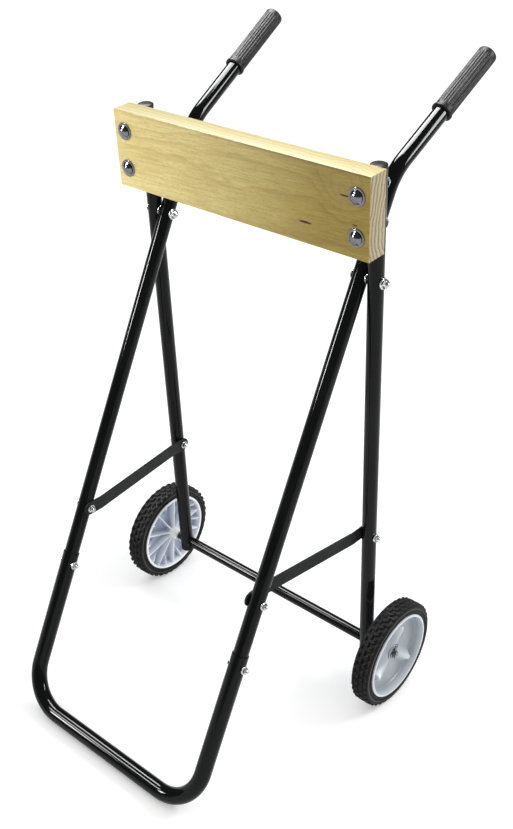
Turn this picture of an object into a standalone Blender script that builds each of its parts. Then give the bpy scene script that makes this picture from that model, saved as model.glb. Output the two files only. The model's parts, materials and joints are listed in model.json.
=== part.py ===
"""Outboard motor dolly: a two-wheeled tube frame with a wooden board, which a small boat motor clamps onto.
Metres, +Z up, -Y is the front (the foot bar), +X is the right side. The origin is on the floor under the
middle of the object's box."""

import math

import bmesh
import bpy
from mathutils import Matrix, Vector

NAME = "motor_dolly"

# Gap left between pieces that touch on the real object, and the length of a cutter through one tube.
GAP = 0.0003
THROUGH = 0.0400
WASHER_T = 0.0016

# Facets round each turned piece.
SCREW_STEPS = 10
RING_STEPS = 14
GRIP_STEPS = 16
WHEEL_STEPS = 36

# Frame tubes: 25.4 mm outside, 1.2 mm wall, with a 28.4 mm tube that slides over them for the foot.
TUBE_R = 0.0127
WALL = 0.0012
FOOT_R = 0.0142
SIDES_RES = 6

# Places of the frame. Distances along a leg start at the axle (rear leg) or at the pivot bolt (front leg).
AXLE_Y = 0.1090
WHEEL_R = 0.1010
REAR_X = 0.2260
FRONT_X = REAR_X - 2 * TUBE_R - WASHER_T - 2 * GAP
REAR_LEAN = math.radians(4.3)
FRONT_LEAN = math.radians(25.5)
REAR_BOTTOM = -0.020
REAR_TOP = 0.9060
PIVOT_S = 0.7310
REAR_BRACE_S = 0.2470
FRONT_BRACE_T = 0.5290
SEAM_T = 0.6180
FOOT_BOLT_T = 0.6390
FRONT_TUBE_END_T = 0.6780
FOOT_BEND_R = 0.0720

# Handles: bent back from the front-leg line, and spread a little sideways.
HANDLE_CORNER = 0.1550
HANDLE_LEAN = math.radians(58.8)
HANDLE_SPREAD = math.radians(2.4)
HANDLE_BEND_R = 0.0950
GRIP_START = 0.1280
GRIP_END = 0.2590
GRIP_R = 0.0155
GRIP_FLANGE_R = 0.0170
GRIP_FLANGE = 0.0040
GRIP_TIP = 0.0070

# Clamping board.
BOARD = Vector((0.4960, 0.0370, 0.1270))
BOARD_S = 0.7855
BOARD_BOLT_DS = 0.0305
BOARD_EDGE = 0.0012

# Braces: flat bar with a joggle at each end.
BRACE_W = 0.0250
BRACE_T = 0.0030
BRACE_FLAT = 0.0260

# Wheels and axle. Distances across a wheel are from its middle plane, outwards positive.
AXLE_R = 0.0050
BORE_R = AXLE_R + GAP
AXLE_HALF = 0.2930
CROSS_R = 0.0100
WHEEL_X = 0.2790
RIM_HALF = 0.0190
RIM_R = 0.0810
SEAT_R = 0.0780
SEAT_HALF = 0.0160
BARREL_R = 0.0755
WEB = (-0.0010, 0.0020)
BOSS_R = 0.0130
BOSS_OUT = 0.0060
BOSS_IN = 0.0320
BOSS_END_R = 0.0105
RIBS = 20
RIB_T = 0.0022
SHORT_RIB_START = 0.0460
RIDGES = 3
RIDGE_R = 0.0120
RIDGE_START = 0.0112
RIDGE_END = 0.0600
RIDGE_HEIGHT = 0.0060
RIDGE_RISE = 0.85
WHEEL_SPIN = {"left": math.radians(21), "right": math.radians(-40)}
SPACER_R = 0.0070
CLIP_X = 0.2885
CLIP_WIRE_R = 0.0010

# Fasteners: radii of the shank, nut flange, hexagon corners, nut dome and bolt head, and the nut's height.
M8 = {"shank": 0.0040, "flange": 0.0092, "hex": 0.0074, "dome": 0.0055, "height": 0.0115, "head": 0.0068}
M6 = {"shank": 0.0030, "flange": 0.0072, "hex": 0.0057, "dome": 0.0044, "height": 0.0092, "head": 0.0056}
BOARD_BOLT_HEAD_R = 0.0100
BOARD_WASHER_R = 0.0140
PIVOT_WASHER_R = 0.0085
AXLE_WASHER_R = 0.0100
LOCK_SCREW = {"shank": 0.0025, "head": 0.0055}
LOCK_SCREW_LENGTH = 0.0070
FLANGE_T = 0.0018
NUT_BORE = 0.0070
HEAD_HEIGHT = 0.62
HEX_HEIGHT = 0.62

AXLE = Vector((0.0, AXLE_Y, WHEEL_R))
UP_REAR = Vector((0.0, -math.sin(REAR_LEAN), math.cos(REAR_LEAN)))
OUT_FRONT = Vector((0.0, -math.cos(REAR_LEAN), -math.sin(REAR_LEAN)))
DOWN_FRONT = Vector((0.0, -math.sin(FRONT_LEAN), -math.cos(FRONT_LEAN)))
PIVOT = AXLE + UP_REAR * PIVOT_S
X_AXIS = Vector((1.0, 0.0, 0.0))
SIDES = (("left", -1.0), ("right", 1.0))
BOARD_MIDDLE_S = BOARD_S + BOARD.z / 2
BOARD_BOLTS = (("lower", BOARD_MIDDLE_S - BOARD_BOLT_DS), ("upper", BOARD_MIDDLE_S + BOARD_BOLT_DS))


def rear_point(s, x, out=0.0):
    """A point beside the rear leg's line: s along it from the axle, out in front of it."""
    return AXLE + UP_REAR * s + OUT_FRONT * out + X_AXIS * x


def front_point(t, x):
    """A point beside the front leg's line: t down it from the pivot bolt."""
    return PIVOT + DOWN_FRONT * t + X_AXIS * x


def clear_scene():
    for obj in list(bpy.data.objects):
        bpy.data.objects.remove(obj, do_unlink=True)


def collection(name):
    made = bpy.data.collections.new(name)
    bpy.context.scene.collection.children.link(made)
    return made


def make_material(name, color, roughness, metallic):
    material = bpy.data.materials.new(name)
    material.use_nodes = True
    shader = material.node_tree.nodes["Principled BSDF"]
    shader.inputs["Base Color"].default_value = (*color, 1.0)
    shader.inputs["Roughness"].default_value = roughness
    shader.inputs["Metallic"].default_value = metallic
    return material


def turn_to(direction):
    """The rotation that lays local Z along a direction."""
    return Vector(direction).normalized().to_track_quat("Z", "Y").to_matrix().to_4x4()


def finish(name, data, material, matrix=None, smooth=True):
    """Puts a mesh or curve into the part's collection under its node name."""
    obj = bpy.data.objects.new(name, data)
    PARTS.objects.link(obj)
    obj.matrix_world = matrix if matrix is not None else Matrix.Identity(4)
    if not data.materials:
        data.materials.append(material)
    if smooth and obj.type == "MESH":
        data.shade_smooth()
        data.set_sharp_from_angle(angle=math.radians(35))
    return obj


def helper(name, data, matrix):
    """A hidden cutter or joiner."""
    obj = bpy.data.objects.new(name, data)
    CUTTERS.objects.link(obj)
    obj.matrix_world = matrix
    obj.hide_render = True
    obj.display_type = "WIRE"
    return obj


def boolean(obj, other, operation):
    modifier = obj.modifiers.new(other.name, "BOOLEAN")
    modifier.operation = operation
    modifier.solver = "EXACT"
    modifier.object = other


def rod_mesh(radius, length, segments=12):
    """A cylinder about Z, centred on the origin."""
    shape = bmesh.new()
    sizes = {"radius1": radius, "radius2": radius, "depth": length}
    bmesh.ops.create_cone(shape, cap_ends=True, segments=segments, **sizes)
    mesh = bpy.data.meshes.new("rod")
    shape.to_mesh(mesh)
    shape.free()
    return mesh


def box_mesh(size):
    """A box of the size, centred on the origin."""
    shape = bmesh.new()
    bmesh.ops.create_cube(shape, size=1.0, matrix=Matrix.Diagonal((*size, 1.0)))
    mesh = bpy.data.meshes.new("box")
    shape.to_mesh(mesh)
    shape.free()
    return mesh


def drill(obj, centre, direction, radius, length=THROUGH, segments=10):
    """Cuts a round hole through an object."""
    matrix = Matrix.Translation(centre) @ turn_to(direction)
    cutter = helper(obj.name + "_hole", rod_mesh(radius, length, segments), matrix)
    boolean(obj, cutter, "DIFFERENCE")


def bent_path(corners, radius, steps):
    """The corners with each inner one rounded to an arc of the radius."""
    points = [corners[0]]
    for before, corner, after in zip(corners, corners[1:], corners[2:]):
        incoming = (corner - before).normalized()
        outgoing = (after - corner).normalized()
        turn = incoming.angle(outgoing)
        reach = radius * math.tan(turn / 2)
        start = corner - incoming * reach
        inward = (outgoing - incoming * incoming.dot(outgoing)).normalized()
        for step in range(steps + 1):
            angle = turn * step / steps
            across = inward * (1 - math.cos(angle))
            points.append(start + (incoming * math.sin(angle) + across) * radius)
    points.append(corners[-1])
    return points


def curve_mesh(points, radius, resolution):
    """The mesh of a round bar along a path, with its end caps welded on."""
    curve = bpy.data.curves.new("path", "CURVE")
    curve.dimensions = "3D"
    curve.bevel_depth = radius
    curve.bevel_resolution = resolution
    curve.use_fill_caps = True
    spline = curve.splines.new("POLY")
    spline.points.add(len(points) - 1)
    for target, point in zip(spline.points, points):
        target.co = (*point, 1.0)
    bar = bpy.data.objects.new("path", curve)
    CUTTERS.objects.link(bar)
    bpy.context.view_layer.update()
    mesh = bpy.data.meshes.new_from_object(bar.evaluated_get(bpy.context.evaluated_depsgraph_get()))
    bpy.data.objects.remove(bar, do_unlink=True)
    shape = bmesh.new()
    shape.from_mesh(mesh)
    bmesh.ops.remove_doubles(shape, verts=shape.verts, dist=0.00001)
    bmesh.ops.recalc_face_normals(shape, faces=shape.faces)
    shape.to_mesh(mesh)
    shape.free()
    return mesh


def tube(name, points, radius, wall, material, resolution=SIDES_RES):
    """A hollow tube along a path, open at both ends."""
    obj = finish(name, curve_mesh(points, radius, resolution), material)
    first = (points[0] - points[1]).normalized() * wall
    last = (points[-1] - points[-2]).normalized() * wall
    inside = [points[0] + first] + list(points[1:-1]) + [points[-1] + last]
    bore = helper(name + "_bore", curve_mesh(inside, radius - wall, resolution), Matrix.Identity(4))
    boolean(obj, bore, "DIFFERENCE")
    return obj


def profile_mesh(profile, closed):
    """An outline of (radius, height) points in the XZ plane, for a Screw modifier."""
    count = len(profile)
    edges = [(i, i + 1) for i in range(count - 1)]
    if closed:
        edges.append((count - 1, 0))
    mesh = bpy.data.meshes.new("profile")
    mesh.from_pydata([(r, 0.0, z) for r, z in profile], edges, [])
    return mesh


def turned_mesh(profile, closed=False, steps=SCREW_STEPS):
    """The mesh of a profile turned about Z. The profile runs down its outer side."""
    obj = bpy.data.objects.new("turned", profile_mesh(profile, closed))
    CUTTERS.objects.link(obj)
    screw = obj.modifiers.new("turn", "SCREW")
    screw.axis = "Z"
    screw.steps = steps
    screw.render_steps = steps
    screw.use_merge_vertices = True
    screw.merge_threshold = 0.00001
    return baked(obj)


def baked(obj):
    """The evaluated mesh of a helper, which is then removed."""
    bpy.context.view_layer.update()
    mesh = bpy.data.meshes.new_from_object(obj.evaluated_get(bpy.context.evaluated_depsgraph_get()))
    bpy.data.objects.remove(obj, do_unlink=True)
    return mesh


def arc(centre_r, centre_z, radius, start, end, steps):
    """Points of an arc in a profile. Angles are in degrees from the +radius direction towards +Z."""
    points = []
    for step in range(steps + 1):
        angle = math.radians(start + (end - start) * step / steps)
        points.append((centre_r + radius * math.cos(angle), centre_z + radius * math.sin(angle)))
    return points


def nut_mesh(size):
    """A domed flange nut with a blind hole. It stands on Z = 0 and its dome points along +Z."""
    hex_low = 0.0006
    hex_high = size["height"] * HEX_HEIGHT
    dome = arc(0.0, size["height"] - size["dome"], size["dome"], 90, 15, 2)
    body = [(0.0, size["height"])] + dome[1:]
    body += [(size["dome"], FLANGE_T), (size["flange"], FLANGE_T)]
    body += [(size["flange"], 0.0), (0.0, 0.0)]
    nut = bpy.data.objects.new("nut", turned_mesh(body))
    CUTTERS.objects.link(nut)
    prism = Matrix.Translation((0.0, 0.0, (hex_low + hex_high) / 2))
    hexagon = helper("nut_hex", rod_mesh(size["hex"], hex_high - hex_low, 6), prism)
    boolean(nut, hexagon, "UNION")
    hole = helper("nut_hole", rod_mesh(size["shank"] + GAP, 2 * NUT_BORE, 12), Matrix.Identity(4))
    boolean(nut, hole, "DIFFERENCE")
    mesh = baked(nut)
    for used in (hexagon, hole):
        bpy.data.objects.remove(used, do_unlink=True)
    return mesh


def bolt_mesh(size, length):
    """A dome-headed bolt. Its bearing face is at Z = 0, its shank runs along +Z and its head is below."""
    head = size["head"]
    low = -HEAD_HEIGHT * head
    profile = [(0.0, length), (size["shank"], length), (size["shank"], 0.0), (head, 0.0)]
    profile += [(head * 0.97, low * 0.30), (head * 0.66, low * 0.80), (0.0, low)]
    return turned_mesh(profile)


def washer_mesh(inner, outer, thickness):
    """A flat ring standing on Z = 0."""
    ring = [(outer, thickness), (outer, 0.0), (inner, 0.0), (inner, thickness)]
    return turned_mesh(ring, True, RING_STEPS)


def rear_legs(paint, plastic):
    """Two straight tubes that lean forward, with a cap at the top and a plug at the bottom."""
    inside = TUBE_R - WALL - GAP
    cap = [(0.0, 0.0055), (0.0085, 0.0050), (0.0122, 0.0030), (0.0128, 0.0), (inside, 0.0)]
    cap += [(inside, -0.0180), (0.0, -0.0180)]
    cap_mesh = turned_mesh(cap, steps=RING_STEPS)
    plug = [(0.0, 0.0055), (0.0085, 0.0044), (TUBE_R, 0.0), (inside, 0.0)]
    plug += [(inside, -0.0100), (0.0, -0.0100)]
    plug_mesh = turned_mesh(plug, steps=RING_STEPS)
    for side, sign in SIDES:
        x = sign * REAR_X
        ends = [rear_point(REAR_BOTTOM, x), rear_point(REAR_TOP, x)]
        leg = tube("rear_leg_" + side, ends, TUBE_R, WALL, paint)
        for s, shank in ((0.0, AXLE_R), (REAR_BRACE_S, M6["shank"]), (PIVOT_S, M8["shank"])):
            drill(leg, rear_point(s, x), X_AXIS, shank + GAP)
        for _, s in BOARD_BOLTS:
            drill(leg, rear_point(s, x), OUT_FRONT, M8["shank"] + GAP)
        drill(leg, rear_point(0.0, x, -TUBE_R), OUT_FRONT, LOCK_SCREW["shank"] + GAP, TUBE_R)
        top = Matrix.Translation(rear_point(REAR_TOP + GAP, x)) @ turn_to(UP_REAR)
        finish("top_cap_" + side, cap_mesh, plastic, top)
        bottom = Matrix.Translation(rear_point(REAR_BOTTOM - GAP, x)) @ turn_to(-UP_REAR)
        finish("bottom_plug_" + side, plug_mesh, plastic, bottom)


def handle_direction(sign):
    """The way the handle points, from its bend to its grip."""
    straight = Vector((0.0, math.sin(HANDLE_LEAN), math.cos(HANDLE_LEAN)))
    return straight * math.cos(HANDLE_SPREAD) + X_AXIS * sign * math.sin(HANDLE_SPREAD)


def front_legs(paint, rubber):
    """One bent tube on each side: front leg below the pivot bolt, handle above it, with a grip on its end."""
    flange = GRIP_FLANGE_R
    depth = GRIP_END - GRIP_START
    bore = TUBE_R + GAP
    edge = 0.003
    grip = [(0.0, depth), (GRIP_R - 2 * edge, depth)] + arc(GRIP_R - edge, depth - edge, edge, 70, 0, 2)
    grip += [(GRIP_R, GRIP_FLANGE), (flange, GRIP_FLANGE - 0.001), (flange, 0.0), (bore, 0.0)]
    grip += [(bore, depth - GRIP_TIP), (0.0, depth - GRIP_TIP)]
    grip_mesh = turned_mesh(grip, steps=GRIP_STEPS)
    for side, sign in SIDES:
        x = sign * FRONT_X
        corner = front_point(-HANDLE_CORNER, x)
        along = handle_direction(sign)
        end = corner + along * (GRIP_END - GRIP_TIP - GAP)
        path = bent_path([front_point(FRONT_TUBE_END_T, x), corner, end], HANDLE_BEND_R, 4)
        leg = tube("front_leg_handle_" + side, path, TUBE_R, WALL, paint)
        for t, size in ((0.0, M8), (FRONT_BRACE_T, M6), (FOOT_BOLT_T, M6)):
            drill(leg, front_point(t, x), X_AXIS, size["shank"] + GAP)
        place = Matrix.Translation(corner + along * GRIP_START) @ turn_to(along)
        finish("grip_" + side, grip_mesh, rubber, place)


def foot_frame(paint):
    """The U-shaped foot, whose ends slide over the front legs. Its middle is the bar on the floor."""
    reach = (PIVOT.z - FOOT_R) / math.cos(FRONT_LEAN)
    corners = [front_point(SEAM_T, -FRONT_X), front_point(reach, -FRONT_X)]
    corners += [front_point(reach, FRONT_X), front_point(SEAM_T, FRONT_X)]
    foot = tube("foot_frame", bent_path(corners, FOOT_BEND_R, 6), FOOT_R, WALL, paint)
    for _, sign in SIDES:
        drill(foot, front_point(FOOT_BOLT_T, sign * FRONT_X), X_AXIS, M6["shank"] + GAP)


def board(wood):
    """The plank that the motor clamps onto, bolted to the front of the rear legs."""
    centre = rear_point(BOARD_MIDDLE_S, 0.0, TUBE_R + GAP + BOARD.y / 2)
    lean = Matrix.Rotation(REAR_LEAN, 4, "X")
    plank = finish("clamp_board", box_mesh(BOARD), wood, Matrix.Translation(centre) @ lean, smooth=False)
    edge = plank.modifiers.new("edge", "BEVEL")
    edge.width = BOARD_EDGE
    edge.segments = 1
    for _, sign in SIDES:
        for _, s in BOARD_BOLTS:
            hole = rear_point(s, sign * REAR_X, TUBE_R + BOARD.y / 2)
            drill(plank, hole, OUT_FRONT, M8["shank"] + GAP, BOARD.y * 2)


def board_fasteners(steel):
    """Four bolts through washer, board and rear leg, each with a domed nut behind the leg."""
    face = TUBE_R + BOARD.y + 2 * GAP
    length = face + WASHER_T + TUBE_R + GAP + NUT_BORE
    bolt = bolt_mesh({"shank": M8["shank"], "head": BOARD_BOLT_HEAD_R}, length)
    washer = washer_mesh(M8["shank"] + GAP, BOARD_WASHER_R, WASHER_T)
    nut = nut_mesh(M8)
    for side, sign in SIDES:
        for level, s in BOARD_BOLTS:
            end = "_%s_%s" % (level, side)
            head = rear_point(s, sign * REAR_X, face + WASHER_T + GAP)
            finish("board_bolt" + end, bolt, steel, Matrix.Translation(head) @ turn_to(-OUT_FRONT))
            seat = rear_point(s, sign * REAR_X, face)
            finish("board_washer" + end, washer, steel, Matrix.Translation(seat) @ turn_to(OUT_FRONT))
            back = rear_point(s, sign * REAR_X, -TUBE_R - GAP)
            finish("board_nut" + end, nut, steel, Matrix.Translation(back) @ turn_to(-OUT_FRONT))


def cross_bolt(name, point, low_x, high_x, size, meshes, steel):
    """A bolt along X with its head at low_x and its domed nut at high_x."""
    length = high_x - low_x + GAP + NUT_BORE
    key = (size["shank"], round(length, 5))
    if key not in meshes:
        meshes[key] = bolt_mesh(size, length)
    nut_key = (size["shank"], "nut")
    if nut_key not in meshes:
        meshes[nut_key] = nut_mesh(size)
    start = Vector((low_x - GAP, point.y, point.z))
    finish(name % "bolt", meshes[key], steel, Matrix.Translation(start) @ turn_to(X_AXIS))
    end = Vector((high_x + GAP, point.y, point.z))
    finish(name % "nut", meshes[nut_key], steel, Matrix.Translation(end) @ turn_to(X_AXIS))


def frame_fasteners(steel, meshes):
    """The bolts along X: pivots, brace ends and foot joints. Every nut faces +X."""
    plate = GAP + BRACE_T
    washer = washer_mesh(M8["shank"] + GAP, PIVOT_WASHER_R, WASHER_T)
    for side, sign in SIDES:
        outer = (sign * REAR_X - TUBE_R, sign * REAR_X + TUBE_R)
        inner = (sign * FRONT_X - TUBE_R, sign * FRONT_X + TUBE_R)
        both = (min(outer[0], inner[0]), max(outer[1], inner[1]))
        cross_bolt("pivot_%s_" + side, PIVOT, *both, M8, meshes, steel)
        between = sign * (FRONT_X + TUBE_R + GAP)
        place = Matrix.Translation((between, PIVOT.y, PIVOT.z)) @ turn_to(X_AXIS * sign)
        finish("pivot_washer_" + side, washer, steel, place)
        braced = [(low - plate, high) if sign > 0 else (low, high + plate) for low, high in (outer, inner)]
        rear = rear_point(REAR_BRACE_S, 0.0)
        front = front_point(FRONT_BRACE_T, 0.0)
        foot = front_point(FOOT_BOLT_T, 0.0)
        cross_bolt("brace_rear_%s_" + side, rear, *braced[0], M6, meshes, steel)
        cross_bolt("brace_front_%s_" + side, front, *braced[1], M6, meshes, steel)
        sleeve = (sign * FRONT_X - FOOT_R, sign * FRONT_X + FOOT_R)
        cross_bolt("foot_%s_" + side, foot, *sleeve, M6, meshes, steel)


def braces(satin):
    """Flat bars on the inner sides of the legs. Each is a strip with round ends, joggled across the tube."""
    rear = rear_point(REAR_BRACE_S, 0.0)
    front = front_point(FRONT_BRACE_T, 0.0)
    span = front - rear
    length = span.length
    along = span.normalized()
    upward = X_AXIS.cross(along)
    offset = REAR_X - FRONT_X
    face = REAR_X - TUBE_R - GAP
    half = BRACE_W / 2
    end_angles = [math.radians(angle) for angle in (0, 30, 60, 90)]
    stations = [-half * math.cos(angle) for angle in end_angles]
    stations += [BRACE_FLAT, length - BRACE_FLAT]
    stations += [length + half * math.sin(angle) for angle in end_angles]
    for side, sign in SIDES:
        shape = bmesh.new()
        rows = []
        for station in stations:
            beyond = max(-station, station - length, 0.0)
            width = math.sqrt(max(half * half - beyond * beyond, 0.0))
            width = max(width, half * 0.12)
            ramp = (station - BRACE_FLAT) / (length - 2 * BRACE_FLAT)
            across = face - offset * min(max(ramp, 0.0), 1.0)
            middle = rear + along * station + X_AXIS * sign * across
            rows.append([shape.verts.new(middle + upward * width * up) for up in (-1, 1)])
        for a, b in zip(rows, rows[1:]):
            shape.faces.new((a[0], b[0], b[1], a[1]))
        mesh = bpy.data.meshes.new("brace_" + side)
        shape.to_mesh(mesh)
        shape.free()
        bar = finish("brace_" + side, mesh, satin)
        thick = bar.modifiers.new("thickness", "SOLIDIFY")
        thick.thickness = BRACE_T
        thick.offset = -sign
        for point, x in ((rear, face), (front, face - offset)):
            drill(bar, Vector((sign * x, point.y, point.z)), X_AXIS, M6["shank"] + GAP)


def axle(paint, steel, black):
    """The axle rod, the tube round it between the rear legs, and the pieces on its ends."""
    edge = 0.0010
    bar = [(0.0, AXLE_HALF), (AXLE_R - edge, AXLE_HALF), (AXLE_R, AXLE_HALF - edge)]
    bar += [(r, -z) for r, z in reversed(bar)]
    across = Matrix.Translation(AXLE) @ turn_to(X_AXIS)
    rod = finish("axle_rod", turned_mesh(bar, steps=GRIP_STEPS), steel, across)
    ends = [AXLE - X_AXIS * REAR_X, AXLE + X_AXIS * REAR_X]
    cross = tube("cross_tube", ends, CROSS_R, CROSS_R - BORE_R, paint)
    washer = washer_mesh(BORE_R, AXLE_WASHER_R, WASHER_T)
    spacer = washer_mesh(BORE_R, SPACER_R, WHEEL_X - BOSS_IN - REAR_X - TUBE_R - 2 * GAP)
    screw = bolt_mesh(LOCK_SCREW, LOCK_SCREW_LENGTH)
    clip = clip_mesh()
    for side, sign in SIDES:
        outward = turn_to(X_AXIS * sign)
        saddle = helper("saddle_" + side, rod_mesh(TUBE_R + GAP, 2 * THROUGH, 24), leg_matrix(sign * REAR_X))
        boolean(cross, saddle, "DIFFERENCE")
        pin = AXLE + X_AXIS * sign * CLIP_X
        drill(rod, pin, Vector((0.0, 0.0, 1.0)), CLIP_WIRE_R + GAP)
        start = Matrix.Translation(AXLE + X_AXIS * sign * (REAR_X + TUBE_R + GAP)) @ outward
        finish("wheel_spacer_" + side, spacer, black, start)
        outside = Matrix.Translation(AXLE + X_AXIS * sign * (WHEEL_X + BOSS_OUT + GAP)) @ outward
        finish("axle_washer_" + side, washer, steel, outside)
        behind = Matrix.Translation(rear_point(0.0, sign * REAR_X, -TUBE_R - GAP)) @ turn_to(OUT_FRONT)
        finish("axle_lock_screw_" + side, screw, black, behind)
        finish("hub_clip_" + side, clip, steel, Matrix.Translation(pin))


def leg_matrix(x):
    """The place of a rear leg at the axle, with local Z along the leg."""
    return Matrix.Translation(rear_point(0.0, x)) @ turn_to(UP_REAR)


def clip_mesh():
    """A wire hairpin clip: a straight leg through the axle, a loop, and a leg that hugs the axle's side."""
    hug = AXLE_R + 2 * GAP + CLIP_WIRE_R
    loop_z = 0.0150
    loop_r = 0.0035
    points = [Vector((0.0, 0.0, -0.0120)), Vector((0.0, 0.0, loop_z))]
    for degrees in range(152, -101, -28):
        angle = math.radians(degrees)
        points.append(Vector((0.0, loop_r * (1 + math.cos(angle)), loop_z + loop_r * math.sin(angle))))
    for degrees in range(70, -61, -33):
        angle = math.radians(degrees)
        points.append(Vector((0.0, hug * math.cos(angle), hug * math.sin(angle))))
    points.append(Vector((0.0, 0.0062, -0.0105)))
    return curve_mesh(points, CLIP_WIRE_R, 1)


def hub_mesh():
    """The moulded hub about Z, outer face up: rim, web and boss turned, then ribs and ridges joined on."""
    lip = 0.0012
    profile = [(RIM_R - lip, RIM_HALF), (RIM_R, RIM_HALF - lip), (RIM_R, SEAT_HALF), (SEAT_R, SEAT_HALF)]
    profile += [(SEAT_R, -SEAT_HALF), (RIM_R, -SEAT_HALF), (RIM_R, lip - RIM_HALF), (RIM_R - lip, -RIM_HALF)]
    profile += [(BARREL_R + 0.001, -RIM_HALF), (BARREL_R, WEB[0])]
    profile += [(BOSS_R, WEB[0]), (BOSS_END_R, -BOSS_IN), (BORE_R, -BOSS_IN)]
    profile += [(BORE_R, BOSS_OUT), (BOSS_R - 0.001, BOSS_OUT), (BOSS_R, WEB[1])]
    profile += [(BARREL_R, WEB[1]), (BARREL_R + 0.001, RIM_HALF)]
    hub = bpy.data.objects.new("hub", turned_mesh(profile, True, WHEEL_STEPS))
    CUTTERS.objects.link(hub)
    used = []
    for index in range(RIBS):
        start = SHORT_RIB_START if index % 2 else BOSS_R - 0.002
        low = Vector((start, -RIB_T / 2, 0.0025 - RIM_HALF))
        high = Vector((BARREL_R + 0.001, RIB_T / 2, WEB[1] - 0.0008))
        place = Matrix.Rotation(math.tau * index / RIBS, 4, "Z") @ Matrix.Translation((low + high) / 2)
        rib = helper("rib", box_mesh(high - low), place)
        boolean(hub, rib, "UNION")
        used.append(rib)
    for index in range(RIDGES):
        ridge = helper("ridge", ridge_mesh(), Matrix.Rotation(math.tau * index / RIDGES, 4, "Z"))
        boolean(hub, ridge, "UNION")
        used.append(ridge)
    mesh = baked(hub)
    for obj in used:
        bpy.data.objects.remove(obj, do_unlink=True)
    return mesh


def ridge_mesh():
    """One broad ridge along +X on the outer face, round in section and end, that rises towards the rim."""
    shape = bmesh.new()
    base = WEB[1] - 0.0012
    far = RIDGE_END - RIDGE_R
    bmesh.ops.create_uvsphere(shape, u_segments=12, v_segments=6, radius=RIDGE_R)
    for vert in shape.verts:
        vert.co.x += far if vert.co.x > 0.0001 else 0.0
        rise = 1 + RIDGE_RISE * vert.co.x / far
        vert.co.z = base + vert.co.z / RIDGE_R * RIDGE_HEIGHT * rise
    floor = ((0.0, 0.0, base), (0.0, 0.0, -1.0))
    inner_end = ((RIDGE_START, 0.0, 0.0), (-1.0, 0.0, 0.0))
    for point, outward in (floor, inner_end):
        everything = shape.verts[:] + shape.edges[:] + shape.faces[:]
        bmesh.ops.bisect_plane(shape, geom=everything, plane_co=point, plane_no=outward, clear_outer=True)
        bmesh.ops.holes_fill(shape, edges=[edge for edge in shape.edges if edge.is_boundary])
    bmesh.ops.recalc_face_normals(shape, faces=shape.faces)
    mesh = bpy.data.meshes.new("ridge")
    shape.to_mesh(mesh)
    shape.free()
    return mesh


def tyre_mesh():
    """The rubber tyre about Z: a bead in the rim's seat, flat walls, round shoulders and a low crown."""
    inner = SEAT_R + GAP
    bead = SEAT_HALF - GAP
    wall = 0.0172
    clear = RIM_R + GAP
    profile = [(inner, bead), (clear, bead), (clear + 0.0008, wall), (WHEEL_R - 0.0050, wall)]
    profile += [(WHEEL_R - 0.0010, 0.0105), (WHEEL_R, 0.0)]
    profile += [(r, -z) for r, z in reversed(profile[:-1])]
    return turned_mesh(profile, True, WHEEL_STEPS)


def wheels(plastic, tyre_rubber):
    """Each wheel is a hub and a tyre, whose origins are on the axle's axis."""
    hub = hub_mesh()
    tyre = tyre_mesh()
    for side, sign in SIDES:
        place = Matrix.Translation(AXLE + X_AXIS * sign * WHEEL_X) @ turn_to(X_AXIS * sign)
        place = place @ Matrix.Rotation(WHEEL_SPIN[side], 4, "Z")
        finish("hub_" + side, hub, plastic, place)
        finish("tyre_" + side, tyre, tyre_rubber, place)


def build():
    paint = make_material("frame_paint", (0.012, 0.012, 0.013), 0.22, 0.0)
    satin = make_material("brace_paint", (0.060, 0.063, 0.064), 0.45, 0.0)
    wood = make_material("wood", (0.72, 0.58, 0.30), 0.55, 0.0)
    rubber = make_material("grip_rubber", (0.075, 0.075, 0.080), 0.70, 0.0)
    tyre_rubber = make_material("tyre_rubber", (0.020, 0.021, 0.020), 0.80, 0.0)
    hub_plastic = make_material("hub_plastic", (0.62, 0.66, 0.72), 0.40, 0.0)
    cap_plastic = make_material("cap_plastic", (0.015, 0.015, 0.016), 0.45, 0.0)
    steel = make_material("zinc_steel", (0.72, 0.72, 0.74), 0.25, 1.0)
    black = make_material("black_steel", (0.020, 0.020, 0.021), 0.40, 0.5)
    rear_legs(paint, cap_plastic)
    front_legs(paint, rubber)
    foot_frame(paint)
    board(wood)
    board_fasteners(steel)
    frame_fasteners(steel, {})
    braces(satin)
    axle(paint, steel, black)
    wheels(hub_plastic, tyre_rubber)


clear_scene()
PARTS = collection(NAME)
CUTTERS = collection("cutters")
build()
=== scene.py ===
"""Looks of the outboard motor dolly: every tube, board, fastener, grip and wheel of the frame, made again
as a fine mesh with its own procedural material, on a plain pale floor in soft studio light. Metres, in the
frame's axes: +Z up, -Y to the front, +X to the right."""

import json
import math

import bmesh
import bpy
from mathutils import Matrix, Vector


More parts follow.
